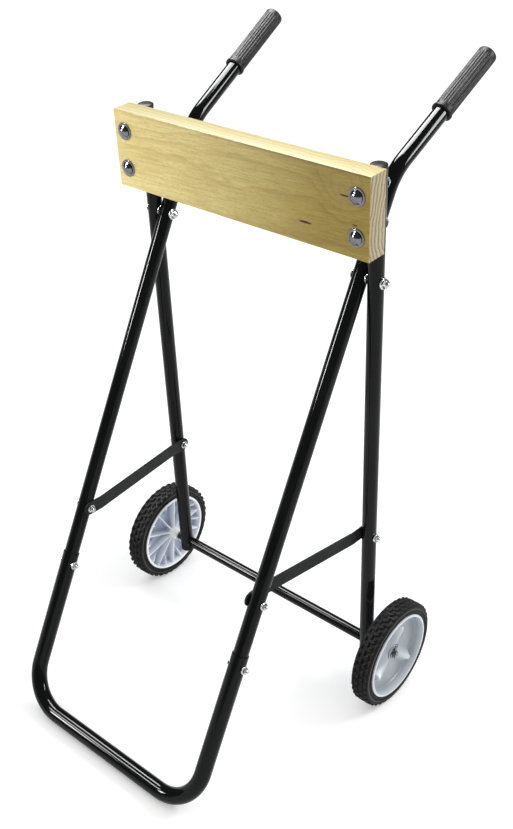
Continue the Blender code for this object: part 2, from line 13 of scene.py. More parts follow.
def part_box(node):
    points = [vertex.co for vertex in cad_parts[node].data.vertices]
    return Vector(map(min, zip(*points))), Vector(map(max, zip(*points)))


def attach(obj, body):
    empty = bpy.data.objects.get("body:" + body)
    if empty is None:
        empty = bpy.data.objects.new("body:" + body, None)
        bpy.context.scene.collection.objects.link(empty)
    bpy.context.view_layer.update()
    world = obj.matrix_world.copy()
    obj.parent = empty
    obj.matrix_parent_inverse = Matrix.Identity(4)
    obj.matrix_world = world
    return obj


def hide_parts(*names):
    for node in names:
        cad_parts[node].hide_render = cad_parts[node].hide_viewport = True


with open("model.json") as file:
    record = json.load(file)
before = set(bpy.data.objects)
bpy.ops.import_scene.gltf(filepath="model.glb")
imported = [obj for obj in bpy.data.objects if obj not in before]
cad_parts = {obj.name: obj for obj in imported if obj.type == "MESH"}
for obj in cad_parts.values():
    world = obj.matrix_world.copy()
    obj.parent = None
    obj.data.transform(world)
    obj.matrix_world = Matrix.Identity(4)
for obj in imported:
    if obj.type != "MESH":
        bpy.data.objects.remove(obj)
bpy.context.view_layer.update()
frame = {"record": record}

X_AXIS = Vector((1.0, 0.0, 0.0))
SIDES = (("left", -1.0), ("right", 1.0))
BODY = {node: body for body, nodes in frame["record"]["behaviour"]["bodies"].items() for node in nodes}
SLOT = {part["node"]: part["material_slot"] for part in frame["record"]["subparts"]}


def middle(node):
    low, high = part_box(node)
    return (low + high) / 2


def half_size(node):
    low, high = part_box(node)
    return (high - low) / 2


def in_side_plane(node):
    """The middle of a node, moved to X = 0."""
    place = middle(node)
    return Vector((0.0, place.y, place.z))


# Places and directions read from the frame.
AXLE = in_side_plane("tyre_right")
PIVOT = in_side_plane("pivot_nut_right")
BRACE_REAR = in_side_plane("brace_rear_nut_right")
BRACE_FRONT = in_side_plane("brace_front_nut_right")
FOOT_BOLT = in_side_plane("foot_nut_right")
UP_REAR = (PIVOT - AXLE).normalized()
OUT_FRONT = Vector((0.0, -UP_REAR.z, UP_REAR.y))
DOWN_FRONT = (FOOT_BOLT - PIVOT).normalized()
WHEEL_X = middle("tyre_right").x
WHEEL_R = half_size("tyre_right").z
REAR_X = middle("rear_leg_right").x
TUBE_R = half_size("rear_leg_right").x
CROSS_R = half_size("cross_tube").z
AXLE_R = half_size("axle_rod").z
AXLE_HALF = half_size("axle_rod").x
GAP = 0.0003

# Tubes. Distances along a rear leg are from the axle, and along a handle from the pivot.
WALL = 0.0012
TUBE_EDGE = 0.0003
FOOT_EDGE = 0.0005
FOOT_R = 0.0142
FRONT_X = half_size("foot_frame").x - FOOT_R
TUBE_SIDES = 48
REAR_BOTTOM = -0.02
REAR_TOP = 0.906
SEAM_ABOVE_FOOT_BOLT = 0.021
TUBE_BELOW_FOOT_BOLT = 0.039
FOOT_BEND_R = 0.072
HANDLE_CORNER = 0.155
HANDLE_LEAN = math.radians(58.8)
HANDLE_SPREAD = math.radians(2.4)
HANDLE_BEND_R = 0.095

# Caps and plugs of the rear legs.
CAP_R = 0.013
CAP_HEIGHT = 0.0056
CAP_INSERT = 0.018
PLUG_HEIGHT = 0.0055
PLUG_INSERT = 0.01

# Grips, measured along the handle from its corner.
GRIP_START = 0.128
GRIP_END = 0.259
GRIP_R = 0.0155
GRIP_FLANGE_R = 0.017
GRIP_FLANGE_T = 0.004
GRIP_TIP = 0.007
GRIP_RIBS = 20
GRIP_GROOVE = 0.0012
GROOVE_PROFILE = (0.0, 0.0, 0.0, 0.0, 0.4, 1.0, 1.0, 0.4)

# Board.
BOARD = Vector((0.496, 0.037, 0.127))
BOARD_EDGE = 0.0012

# Braces.
BRACE_W = 0.025
BRACE_T = 0.003
BRACE_FLAT = 0.026
BRACE_EDGE = 0.0004

# Fasteners: radii of the shank, nut flange, hexagon corners, nut dome and bolt head, and the nut's height.
M8 = {"shank": 0.004, "flange": 0.0092, "hex": 0.0074, "dome": 0.0055, "height": 0.0115, "head": 0.0068}
M6 = {"shank": 0.003, "flange": 0.0072, "hex": 0.0057, "dome": 0.0044, "height": 0.0092, "head": 0.0056}
BOARD_BOLT = dict(M8, head=0.0104)
LOCK_SCREW = {"shank": 0.0025, "head": 0.0055}
FLANGE_T = 0.0018
NUT_BORE = 0.007
BORE_FILLED = 0.85
HEAD_HEIGHT = 0.62
HEAD_RIM = 0.0012
HEX_HEIGHT = 0.62
WASHER_T = 0.0016
BOARD_WASHER_R = 0.014
PIVOT_WASHER_R = 0.0085
AXLE_WASHER_R = 0.01
LOCK_SCREW_LENGTH = 0.007

# Wheels. Distances across a wheel are from its middle plane, outwards positive.
RIM_HALF = 0.019
RIM_R = 0.081
SEAT_R = 0.078
SEAT_HALF = 0.016
BARREL_R = 0.0755
WEB = (-0.001, 0.002)
BOSS_R = 0.0117
BOSS_END_R = 0.0105
BOSS_IN = 0.032
BOSS_OUT_R = 0.013
BOSS_OUT = 0.006
BORE_R = AXLE_R + GAP
SPACER_R = 0.007
SPACER_LENGTH = WHEEL_X - BOSS_IN - REAR_X - TUBE_R - 2 * GAP
RIBS = 20
RIB_TOP = 0.0025 - RIM_HALF
RIB_T = 0.0019
RIB_DRAFT = 0.0006
SHORT_RIB_START = 0.046
SHORT_RIB_CLIMB = 0.024
RIDGES = 3
RIDGE_CREST = 0.003
RIDGE_FLANK = 0.0125
RIDGE_END = 0.056
RIDGE_ROUND = 0.0055
RIDGE_LOW = 0.001
RIDGE_HIGH = 0.0135
WHEEL_SPIN = {"left": math.radians(21), "right": math.radians(-40)}
TREAD_PITCHES = 40
TREAD_STEPS = 16
TREAD_DEPTH = 0.0042
TYRE_WALL = 0.0168
TYRE_CROWNING = 0.0007
TYRE_SHOULDER_R = 0.0034
# Radius of the paler ring painted on each tyre wall as a highlight.
SHEEN_RING_R = 0.0912
CLIP_X = 0.2885
CLIP_WIRE_R = 0.001


# ---- mesh tools


def turn_to(direction):
    """The rotation that lays local Z along a direction."""
    return Vector(direction).normalized().to_track_quat("Z", "Y").to_matrix().to_4x4()


def at(place, direction):
    """The matrix that moves a piece to a place and lays its Z along a direction."""
    return Matrix.Translation(place) @ turn_to(direction)


def bent(corners, radii, steps=10, closed=False):
    """Points of a path with its corners rounded to arcs. radii gives one fillet radius for each corner."""
    points = []
    count = len(corners)
    for index, (corner, radius) in enumerate(zip(corners, radii)):
        if radius <= 0 or (not closed and index in (0, count - 1)):
            points.append(corner)
            continue
        incoming = (corner - corners[index - 1]).normalized()
        outgoing = (corners[(index + 1) % count] - corner).normalized()
        turn = incoming.angle(outgoing)
        start = corner - incoming * radius * math.tan(turn / 2)
        inward = (outgoing - incoming * incoming.dot(outgoing)).normalized()
        for step in range(steps + 1):
            angle = turn * step / steps
            points.append(start + (incoming * math.sin(angle) + inward * (1 - math.cos(angle))) * radius)
    return points


def outline(corners, steps=4, closed=False):
    """(radius, height) points of a turned outline, from (radius, height, fillet) corners."""
    places = [Vector((r, 0.0, z)) for r, z, _ in corners]
    rounded = bent(places, [fillet for _, _, fillet in corners], steps, closed)
    return [(point.x, point.z) for point in rounded]


def bridge(shape, rings, closed=False):
    """Joins neighbouring rings of corners with faces. A ring of one corner is a point on the axis."""
    following = rings[1:] + (rings[:1] if closed else [])
    for a, b in zip(rings, following):
        count = max(len(a), len(b))
        for i in range(count):
            j = (i + 1) % count
            corners = (a[i % len(a)], a[j % len(a)], b[j % len(b)], b[i % len(b)])
            unique = list(dict.fromkeys(corners))
            if len(unique) > 2:
                shape.faces.new(unique)


def turned(stations, steps=48, closed=False):
    """A mesh turned about Z. A station is a (radius, height) pair, or a function that gives (radius, height,
    angle) for a step, where the piece isn't round."""
    shape = bmesh.new()
    rings = []
    for station in stations:
        if not callable(station) and station[0] == 0.0:
            rings.append([shape.verts.new((0.0, 0.0, station[1]))])
            continue
        ring = []
        for step in range(steps):
            if callable(station):
                radius, height, angle = station(step)
            else:
                radius, height, angle = station[0], station[1], math.tau * step / steps
            ring.append(shape.verts.new((radius * math.cos(angle), radius * math.sin(angle), height)))
        rings.append(ring)
    bridge(shape, rings, closed)
    return shape


def path_frames(path):
    """For each point of a path: the point, its direction, and two directions square to it without twist."""
    frames = []
    side = None
    for index, point in enumerate(path):
        before = path[max(index - 1, 0)]
        after = path[min(index + 1, len(path) - 1)]
        along = (after - before).normalized()
        if side is None:
            side = along.orthogonal()
        side = (side - along * along.dot(side)).normalized()
        frames.append((point, along, side, along.cross(side)))
    return frames


def path_ring(shape, place, radius, shift=0.0, sides=TUBE_SIDES):
    """One ring of corners square to a path."""
    point, along, side, across = place
    ring = []
    for step in range(sides):
        angle = math.tau * step / sides
        spoke = side * math.cos(angle) + across * math.sin(angle)
        ring.append(shape.verts.new(point + along * shift + spoke * radius))
    return ring


def tube(path, radius, edge=TUBE_EDGE):
    """A round tube along a path, open at both ends, with its outer edges rounded."""
    shape = bmesh.new()
    frames = path_frames(path)
    first, last = frames[0], frames[-1]
    rings = [path_ring(shape, first, radius - edge), path_ring(shape, first, radius, edge)]
    rings += [path_ring(shape, place, radius) for place in frames[1:-1]]
    rings += [path_ring(shape, last, radius, -edge), path_ring(shape, last, radius - edge)]
    rings += [path_ring(shape, place, radius - WALL) for place in reversed(frames)]
    bridge(shape, rings, closed=True)
    return shape


def wire(path, radius, sides=12):
    """A solid round bar along a path, with domed ends."""
    shape = bmesh.new()
    frames = path_frames(path)
    first, last = frames[0], frames[-1]
    tip, shoulder, shoulder_r = radius * 0.5, radius * 0.35, radius * 0.8
    rings = [[shape.verts.new(first[0] - first[1] * tip)]]
    rings.append(path_ring(shape, first, shoulder_r, -shoulder, sides))
    rings += [path_ring(shape, place, radius, 0.0, sides) for place in frames]
    rings.append(path_ring(shape, last, shoulder_r, shoulder, sides))
    rings.append([shape.verts.new(last[0] + last[1] * tip)])
    bridge(shape, rings)
    return shape


def put(node, shape, matrix=None, sharp=35, look=None):
    """Shows a finished mesh in the place of a CAD node. It rides on that node's body, in its slot's material
    or in a look of its own."""
    mesh = bpy.data.meshes.new(node + "_detail")
    bmesh.ops.recalc_face_normals(shape, faces=shape.faces)
    shape.to_mesh(mesh)
    shape.free()
    mesh.materials.append(MATERIALS[look or SLOT[node]])
    mesh.shade_smooth()
    mesh.set_sharp_from_angle(angle=math.radians(sharp))
    piece = bpy.data.objects.new(node + "_detail", mesh)
    bpy.context.scene.collection.objects.link(piece)
    if matrix is not None:
        piece.matrix_world = matrix
    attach(piece, BODY[node])
    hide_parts(node)


# ---- material tools


MATERIALS = {}


class Paint:
    """A Principled material, kept in MATERIALS under its name, and short ways to add nodes to it."""

    def __init__(self, name, metallic=0.0, specular=0.5):
        material = MATERIALS[name] = bpy.data.materials.new(name)
        material.use_nodes = True
        self.tree = material.node_tree
        self.shader = self.tree.nodes["Principled BSDF"]
        self.relief = None
        self.set("Metallic", metallic)
        self.set("Specular IOR Level", specular)
        self.place = self.node("ShaderNodeTexCoord").outputs["Object"]

    def set(self, socket, value):
        """Sets a shader input to a constant, or links a node's output to it."""
        if isinstance(value, bpy.types.NodeSocket):
            self.tree.links.new(value, self.shader.inputs[socket])
        else:
            self.shader.inputs[socket].default_value = value

    def node(self, kind, inputs=None, **settings):
        made = self.tree.nodes.new(kind)
        for name, value in settings.items():
            setattr(made, name, value)
        for key, value in (inputs or {}).items():
            if isinstance(value, bpy.types.NodeSocket):
                self.tree.links.new(value, made.inputs[key])
            else:
                made.inputs[key].default_value = value
        return made

    def math(self, operation, a, b=0.0):
        return self.node("ShaderNodeMath", {0: a, 1: b}, operation=operation).outputs[0]

    def rough(self, value, low, high, smooth, matt):
        """Sets a roughness that goes from smooth to matt as a value goes from low to high."""
        self.set("Roughness", self.remap(value, low, high, smooth, matt))

    def times(self, a, b):
        return self.math("MULTIPLY", a, b)

    def noise(self, scale, detail=3.0, roughness=0.5, source=None):
        """Noise with one scale, or with a scale for each axis, which draws it out into streaks."""
        source = source or self.place
        if isinstance(scale, tuple):
            source = self.node("ShaderNodeMapping", {"Vector": source, "Scale": scale}).outputs["Vector"]
            scale = 1.0
        inputs = {"Vector": source, "Scale": scale, "Detail": detail, "Roughness": roughness}
        return self.node("ShaderNodeTexNoise", inputs).outputs["Fac"]

    def remap(self, value, low, high, to_low=0.0, to_high=1.0):
        """A value moved from one range to another, held at both ends."""
        inputs = {"Value": value, "From Min": low, "From Max": high, "To Min": to_low, "To Max": to_high}
        return self.node("ShaderNodeMapRange", inputs, clamp=True).outputs["Result"]

    def mix(self, share, a, b, blend="MIX"):
        """A colour between two colours."""
        inputs = {0: share, 6: a if isinstance(a, bpy.types.NodeSocket) else (*a, 1.0)}
        inputs[7] = b if isinstance(b, bpy.types.NodeSocket) else (*b, 1.0)
        return self.node("ShaderNodeMix", inputs, data_type="RGBA", blend_type=blend).outputs[2]

    def tones(self, value, low, high, dark, light):
        """A colour that goes from dark to light as a value goes from low to high."""
        return self.mix(self.remap(value, low, high), dark, light)

    def vector(self, operation, a, b=(0.0, 0.0, 0.0)):
        return self.node("ShaderNodeVectorMath", {0: a, 1: b}, operation=operation).outputs[0]

    def length(self, a):
        return self.node("ShaderNodeVectorMath", {0: a}, operation="LENGTH").outputs["Value"]

    def parts(self, source):
        """The X, Y and Z outputs of a vector."""
        return self.node("ShaderNodeSeparateXYZ", {"Vector": source}).outputs

    def bump(self, height, distance, strength):
        """Makes the surface bumpy, on top of any bumps that it already has."""
        inputs = {"Height": height, "Distance": distance, "Strength": strength}
        if self.relief is not None:
            inputs["Normal"] = self.relief
        self.relief = self.node("ShaderNodeBump", inputs).outputs["Normal"]
        self.set("Normal", self.relief)


def gloss_paint():
    """Black gloss coating: a faint orange-peel surface, with a little dust haze and handling marks."""
    paint = Paint("frame_paint", specular=0.125)
    haze = paint.noise(9.0, 4.0, 0.6)
    clean, dusty = (0.004, 0.0044, 0.0046), (0.0065, 0.007, 0.0072)
    paint.set("Base Color", paint.tones(haze, 0.45, 0.75, clean, dusty))
    smears = paint.noise(60.0, 5.0, 0.65)
    paint.rough(smears, 0.35, 0.75, 0.06, 0.11)
    paint.bump(paint.noise(900.0, 2.0), 0.00002, 0.1)
    paint.bump(paint.noise(110.0, 1.0), 0.00008, 0.06)


def satin_paint():
    """Dark grey satin coating of the braces."""
    paint = Paint("brace_paint", specular=0.07)
    tone = paint.noise(35.0, 4.0, 0.6)
    dark, light = (0.013, 0.0138, 0.014), (0.019, 0.02, 0.02)
    paint.set("Base Color", paint.tones(tone, 0.35, 0.7, dark, light))
    paint.rough(paint.noise(90.0, 4.0), 0.3, 0.7, 0.38, 0.52)
    paint.bump(paint.noise(1400.0, 2.0), 0.00004, 0.5)


# The board's grain, in its own axes from its middle: the trunk's pith, its year rings, a knot hidden near the
# right end, and small pitch pockets as (X, Z, half length, half width) on the front.
PITH = Vector((0.0, 0.145, -0.025))
RING_SPACING = 0.008
GRAIN_SLOPE = math.radians(2.6)
KNOT = Vector((0.202, 0.0, 0.026))
KNOT_SHAPE = Vector((17.0, 0.0, 19.0))
KNOT_PUSH = 0.03
POCKETS = (
    (0.1353, -0.0303, 0.01, 0.0016),
    (0.2053, 0.0269, 0.008, 0.0012),
    (0.223, -0.0125, 0.004, 0.0009),
)


def ring_phase(wood, grain, swell):
    """Where a point lies between two year rings, from 0 to 1. The rings run round the pith, pushed about by
    waves along the trunk and by the knot."""
    _, depth, height = wood.parts(grain)
    flat = {"Y": wood.math("SUBTRACT", depth, PITH.y), "Z": wood.math("SUBTRACT", height, PITH.z)}
    radius = wood.length(wood.node("ShaderNodeCombineXYZ", flat).outputs[0])
    slow = wood.noise((5.5, 16.0, 22.0), 2.0, 0.45, grain)
    fine = wood.noise((22.0, 60.0, 90.0), 3.0, 0.55, grain)
    pushed = wood.math("ADD", radius, wood.remap(slow, 0.0, 1.0, -0.0085, 0.0085))
    pushed = wood.math("ADD", pushed, wood.remap(fine, 0.0, 1.0, -0.0016, 0.0016))
    pushed = wood.math("ADD", pushed, wood.times(swell, KNOT_PUSH))
    return wood.math("FRACT", wood.math("DIVIDE", pushed, RING_SPACING))


def pitch_pocket(wood, color, near_front, x, z, half_length, half_width):
    """The colour with one small dark pitch pocket and its halo."""
    spot = wood.vector("SUBTRACT", wood.place, (x, -BOARD.y / 2, z))
    scaled = wood.vector("MULTIPLY", spot, (1 / half_length, 0.0, 1 / half_width))
    tilt = wood.node("ShaderNodeMapping", {"Vector": scaled, "Rotation": (0.0, 0.05, 0.0)}).outputs["Vector"]
    ragged = wood.remap(wood.noise(260.0, 2.0), 0.0, 1.0, -0.45, 0.45)
    reach = wood.math("ADD", wood.length(tilt), ragged)
    halo = wood.times(wood.remap(reach, 3.0, 0.9, 0.0, 0.4), near_front)
    color = wood.mix(halo, color, (0.26, 0.15, 0.035))
    dark = wood.times(wood.remap(reach, 1.35, 0.9), near_front)
    return wood.mix(dark, color, (0.028, 0.007, 0.003))


def board_wood():
    """Pale planed softwood. Rings run round a pith behind the board, so that the front is flat-sawn, the top
    shows long lines and the ends show arcs. Local X is along the board, Y back through it and Z up it."""
    wood = Paint("wood", specular=0.3)
    slope = {"Vector": wood.place, "Rotation": (0.0, GRAIN_SLOPE, 0.0)}
    grain = wood.node("ShaderNodeMapping", slope).outputs["Vector"]
    along, depth, _ = wood.parts(grain)

    # Which face of the board a point lies on.
    facing = wood.parts(wood.node("ShaderNodeTexCoord").outputs["Normal"])
    on_end, on_front, on_top = [wood.remap(wood.math("ABSOLUTE", part), 0.6, 0.9) for part in facing]

    # Year rings: each darkens slowly towards its late wood and ends sharply.
    from_knot = wood.vector("MULTIPLY", wood.vector("SUBTRACT", grain, KNOT), KNOT_SHAPE)
    swell = wood.math("POWER", wood.remap(wood.length(from_knot), 1.0, 0.0), 1.5)
    phase = ring_phase(wood, grain, swell)
    late = wood.times(wood.remap(phase, 0.15, 0.86), wood.remap(phase, 1.0, 0.9))
    late = wood.math("POWER", late, 1.8)

    # Colours: broad tone, rings, fibres, flecks and pores.
    broad = wood.remap(wood.noise((4.0, 9.0, 12.0), 3.0, 0.5, grain), 0.35, 0.65)
    face = wood.mix(broad, (0.83, 0.69, 0.27), (0.93, 0.805, 0.355))
    top = wood.mix(broad, (0.715, 0.63, 0.215), (0.775, 0.7, 0.3))
    body = wood.mix(on_end, wood.mix(on_top, face, top), (0.375, 0.322, 0.198))
    ring_color = wood.mix(on_end, (0.56, 0.375, 0.095), (0.095, 0.065, 0.032))
    weight = wood.remap(on_front, 0.0, 1.0, 0.55, 0.38)
    weight = wood.math("MAXIMUM", weight, wood.times(on_end, 0.95))
    color = wood.mix(wood.times(late, weight), body, ring_color)
    fibre = wood.noise((24.0, 620.0, 620.0), 4.0, 0.62, grain)
    streaks = wood.remap(fibre, 0.4, 0.72)
    streaked = wood.times(streaks, wood.remap(on_end, 0.0, 1.0, 0.48, 0.15))
    color = wood.mix(streaked, color, (0.45, 0.3, 0.085))
    flecks = wood.remap(wood.noise((150.0, 520.0, 520.0), 3.0, 0.7, grain), 0.47, 0.7)
    flecked = wood.times(flecks, wood.remap(on_front, 0.0, 1.0, 0.12, 0.34))
    color = wood.mix(flecked, color, (0.42, 0.285, 0.08))
    pores = wood.remap(wood.noise((70.0, 1500.0, 1500.0), 2.0, 0.5, grain), 0.66, 0.78)
    color = wood.mix(wood.times(pores, 0.38), color, (0.26, 0.155, 0.045))

    # Painted shade: the front is painted darker towards its right end. The wood is brown round the hidden
    # knot.
    shade = wood.times(wood.remap(along, -0.23, 0.17), on_front)
    color = wood.mix(shade, color, wood.mix(1.0, color, (0.34, 0.298, 0.118), "MULTIPLY"))
    brown = wood.times(wood.times(swell, on_front), 0.45)
    color = wood.mix(brown, color, (0.3, 0.215, 0.075))

    # The upper edge of the front is darker, and more so towards the right, where it follows the painted
    # shade.
    upright = wood.parts(wood.place)["Z"]
    edge = wood.remap(upright, BOARD.z / 2 - 0.0045, BOARD.z / 2 - 0.001, 0.0, 0.75)
    color = wood.mix(wood.times(edge, shade), color, (0.13, 0.08, 0.02))

    near_front = wood.remap(depth, -0.006, -0.014)
    for pocket in POCKETS:
        color = pitch_pocket(wood, color, near_front, *pocket)

    wood.set("Base Color", color)
    wood.rough(streaks, 0.0, 1.0, 0.42, 0.58)
    wood.bump(wood.times(pores, -1.0), 0.0001, 0.5)
    relief = wood.math("ADD", wood.times(fibre, 0.7), wood.times(late, 0.5))
    wood.bump(relief, 0.00012, 0.45)
    wood.set("Coat Weight", 0.05)
    wood.set("Coat Roughness", 0.3)


def grip_rubber():
    """Dark grey moulded rubber with a fine leathery skin."""
    rubber = Paint("grip_rubber", specular=0.115)
    tone = rubber.noise(45.0, 4.0, 0.6)
    dark, light = (0.012, 0.012, 0.013), (0.021, 0.021, 0.0225)
    rubber.set("Base Color", rubber.tones(tone, 0.35, 0.7, dark, light))
    rubber.rough(rubber.noise(160.0, 3.0), 0.3, 0.7, 0.36, 0.5)
    cells = rubber.node("ShaderNodeTexVoronoi", {"Vector": rubber.place, "Scale": 1500.0}).outputs["Distance"]
    rubber.bump(cells, 0.00003, 0.3)


def tyre_rubber():
    """Black tyre rubber with patches of dust, a fine mould texture and a paler ring painted on each wall as a
    highlight.
    """
    rubber = Paint("tyre", specular=0.16)
    dust = rubber.noise(22.0, 6.0, 0.65)
    speckle = rubber.noise(500.0, 3.0, 0.6)
    worn = rubber.tones(dust, 0.42, 0.7, (0.0065, 0.007, 0.0065), (0.014, 0.0148, 0.0136))
    worn = rubber.mix(rubber.remap(speckle, 0.58, 0.75, 0.0, 0.25), worn, (0.05, 0.05, 0.047))
    # Painted highlight: a paler ring on each wall near the tread, broken up where the dust is patchy.
    radius = rubber.length(rubber.vector("MULTIPLY", rubber.place, (1.0, 1.0, 0.0)))
    off_ring = rubber.math("ABSOLUTE", rubber.math("SUBTRACT", radius, SHEEN_RING_R))
    patchy = rubber.remap(dust, 0.3, 0.55, 0.3, 1.0)
    sheen_ring = rubber.times(rubber.remap(off_ring, 0.0011, 0.0004), patchy)
    rubber.set("Base Color", rubber.mix(sheen_ring, worn, (0.085, 0.086, 0.083)))
    rubber.rough(dust, 0.3, 0.7, 0.55, 0.74)
    rubber.bump(rubber.noise(700.0, 4.0, 0.6), 0.0001, 0.5)


def hub_plastic():
    """Pale blue-grey moulded plastic, faintly mottled and specked, with painted shade: it is painted darker
    deep in either face than on the rims, rib tops and ridge crests, bluer in the painted shade of the inner
    face, and darker all over on the outer face than on the inner face. Local Z is out across the wheel."""
    plastic = Paint("hub_plastic")
    clouds = plastic.remap(plastic.noise(14.0, 4.0, 0.55), 0.35, 0.7)
    across = plastic.parts(plastic.place)["Z"]
    # Painted shade: each face darkens deep down and pales towards its rims, rib tops and crests, bluer on the
    # inner face and darker all over on the outer face.
    outer_shaded_colour = plastic.mix(clouds, (0.245, 0.28, 0.315), (0.305, 0.34, 0.378))
    outer_painted_shading = plastic.tones(across, 0.002, 0.018, outer_shaded_colour, (0.56, 0.59, 0.62))
    inner_shaded_colour = plastic.mix(clouds, (0.4, 0.47, 0.61), (0.49, 0.55, 0.67))
    inner_painted_shading = plastic.tones(across, -0.001, -0.016, inner_shaded_colour, (0.86, 0.87, 0.89))
    tone = plastic.tones(across, -0.001, 0.001, inner_painted_shading, outer_painted_shading)
    specks = plastic.remap(plastic.noise(420.0, 3.0, 0.6), 0.66, 0.8, 0.0, 0.35)
    plastic.set("Base Color", plastic.mix(specks, tone, (0.3, 0.31, 0.34)))
    plastic.rough(plastic.noise(70.0, 3.0), 0.3, 0.7, 0.28, 0.42)
    plastic.bump(plastic.noise(1100.0, 2.0), 0.00003, 0.4)
    plastic.set("Subsurface Weight", 0.08)
    plastic.set("Subsurface Radius", (0.004, 0.004, 0.005))


def cap_plastic():
    """Black moulded plastic with a fine spark-eroded grain."""
    plastic = Paint("cap_plastic", specular=0.13)
    tone = plastic.noise(80.0, 3.0)
    plastic.set("Base Color", plastic.tones(tone, 0.35, 0.7, (0.007, 0.007, 0.008), (0.014, 0.014, 0.015)))
    plastic.rough(plastic.noise(300.0, 3.0), 0.3, 0.7, 0.34, 0.5)
    plastic.bump(plastic.noise(1600.0, 2.0), 0.00004, 0.6)


def zinc_steel():
    """Bright zinc plate: cool silver with faint blotches and hairline scratches."""
    steel = Paint("zinc_steel", metallic=1.0)
    blotch = steel.noise(240.0, 3.0, 0.6)
    steel.set("Base Color", steel.tones(blotch, 0.35, 0.7, (0.46, 0.47, 0.5), (0.64, 0.64, 0.67)))
    scratch = steel.noise((500.0, 2600.0, 900.0), 3.0, 0.7)
    steel.rough(scratch, 0.35, 0.75, 0.14, 0.34)
    steel.bump(scratch, 0.00001, 0.4)


def chrome_painted_dark():
    """Bright plate with its reflection painted dark: the board's bolts and washers, the axle rod and its
    clips.
    """
    steel = Paint("chrome_painted_dark", metallic=1.0)
    blotch = steel.noise(300.0, 3.0, 0.6)
    # Painted reflection: the base colour is darkened so that this plate reflects its surroundings dimly,
    # unlike the same bright plate on the nuts.
    steel.set("Base Color", steel.tones(blotch, 0.35, 0.7, (0.14, 0.145, 0.16), (0.22, 0.225, 0.24)))
    swirl = steel.noise((1400.0, 1400.0, 300.0), 3.0, 0.7)
    steel.rough(swirl, 0.35, 0.75, 0.07, 0.18)
    steel.bump(swirl, 0.00001, 0.3)


def black_steel():
    """Black finished steel of the spacers and the lock screws."""
    steel = Paint("black_steel", metallic=0.4)
    tone = steel.noise(150.0, 4.0, 0.6)
    steel.set("Base Color", steel.tones(tone, 0.35, 0.75, (0.012, 0.012, 0.013), (0.04, 0.04, 0.042)))
    steel.rough(tone, 0.3, 0.7, 0.3, 0.5)
    steel.bump(steel.noise(900.0, 3.0), 0.00003, 0.5)


gloss_paint()
satin_paint()
board_wood()
grip_rubber()
tyre_rubber()
hub_plastic()
cap_plastic()
zinc_steel()
chrome_painted_dark()
black_steel()


# ---- frame tubes


def rear_legs():
    """The straight rear tubes, each with a domed cap on top and a domed plug below that fit its bore."""
    fit_r = TUBE_R - WALL - GAP
    cap = [(0.0, CAP_HEIGHT, 0), (CAP_R * 0.77, CAP_HEIGHT * 0.9, 0.006), (CAP_R, CAP_HEIGHT * 0.6, 0.0014)]
    cap = outline([*cap, (CAP_R, 0.0, 0.0003)], 5)
    cap += [(fit_r, 0.0), (fit_r, -CAP_INSERT), (0.0, -CAP_INSERT)]
    plug = outline([(0.0, PLUG_HEIGHT, 0), (0.0085, PLUG_HEIGHT * 0.84, 0.008), (TUBE_R, 0.0, 0.001)], 5)
    plug += [(fit_r, 0.0), (fit_r, -PLUG_INSERT), (0.0, -PLUG_INSERT)]
    for side, sign in SIDES:
        base = AXLE + X_AXIS * sign * REAR_X
        bottom, top = base + UP_REAR * REAR_BOTTOM, base + UP_REAR * REAR_TOP
        put("rear_leg_" + side, tube([bottom, top], TUBE_R))
        put("top_cap_" + side, turned(cap), at(top + UP_REAR * GAP, UP_REAR))
        put("bottom_plug_" + side, turned(plug), at(bottom - UP_REAR * GAP, -UP_REAR))


def handle_direction(sign):
    """The way a handle points, from its bend to its grip."""
    straight = Vector((0.0, math.sin(HANDLE_LEAN), math.cos(HANDLE_LEAN)))
    return straight * math.cos(HANDLE_SPREAD) + X_AXIS * sign * math.sin(HANDLE_SPREAD)


def front_legs():
    """The bent front tubes, each leg and handle in one, and the grips on the handles' ends."""
    below = (FOOT_BOLT - PIVOT).length + TUBE_BELOW_FOOT_BOLT
    for side, sign in SIDES:
        pivot = PIVOT + X_AXIS * sign * FRONT_X
        corner = pivot - DOWN_FRONT * HANDLE_CORNER
        outward = handle_direction(sign)
        end = corner + outward * (GRIP_END - GRIP_TIP - GAP)
        path = bent([pivot + DOWN_FRONT * below, corner, end], [0, HANDLE_BEND_R, 0], 14)
        put("front_leg_handle_" + side, tube(path, TUBE_R))
        sleeve = grip()
        sleeve.transform(turn_to(outward))
        put("grip_" + side, sleeve, Matrix.Translation(corner + outward * GRIP_START), sharp=50)


def grip():
    """A rubber grip about Z: a flange, a sleeve with long grooves and a closed, rounded tip."""
    length = GRIP_END - GRIP_START
    bore = TUBE_R + GAP
    steps = GRIP_RIBS * len(GROOVE_PROFILE)

    def grooved(height, share):
        """A ring of the sleeve, with its grooves cut to a share of their depth."""
        def station(step):
            depth = GRIP_GROOVE * share * GROOVE_PROFILE[step % len(GROOVE_PROFILE)]
            return GRIP_R - depth, height, math.tau * step / steps
        return station

    flange = [(bore, 0.0, 0), (GRIP_FLANGE_R, 0.0, 0.001), (GRIP_FLANGE_R, GRIP_FLANGE_T, 0.0012)]
    flange += [(GRIP_R, GRIP_FLANGE_T + 0.0006, 0.0008), (GRIP_R, 0.0085, 0)]
    stations = outline(flange)
    stations += [grooved(0.0095, 0.0), grooved(0.0125, 1.0), grooved(length * 0.5, 1.0)]
    stations += [grooved(length - 0.013, 1.0), grooved(length - 0.0095, 0.0)]
    tip = [(GRIP_R, length - 0.0085, 0), (GRIP_R, length - 0.0012, 0.0028)]
    tip += [(0.011, length, 0.004), (0.0, length, 0)]
    stations += outline(tip, 7)
    stations += [(0.0, length - GRIP_TIP), (bore, length - GRIP_TIP)]
    return turned(stations, steps, closed=True)


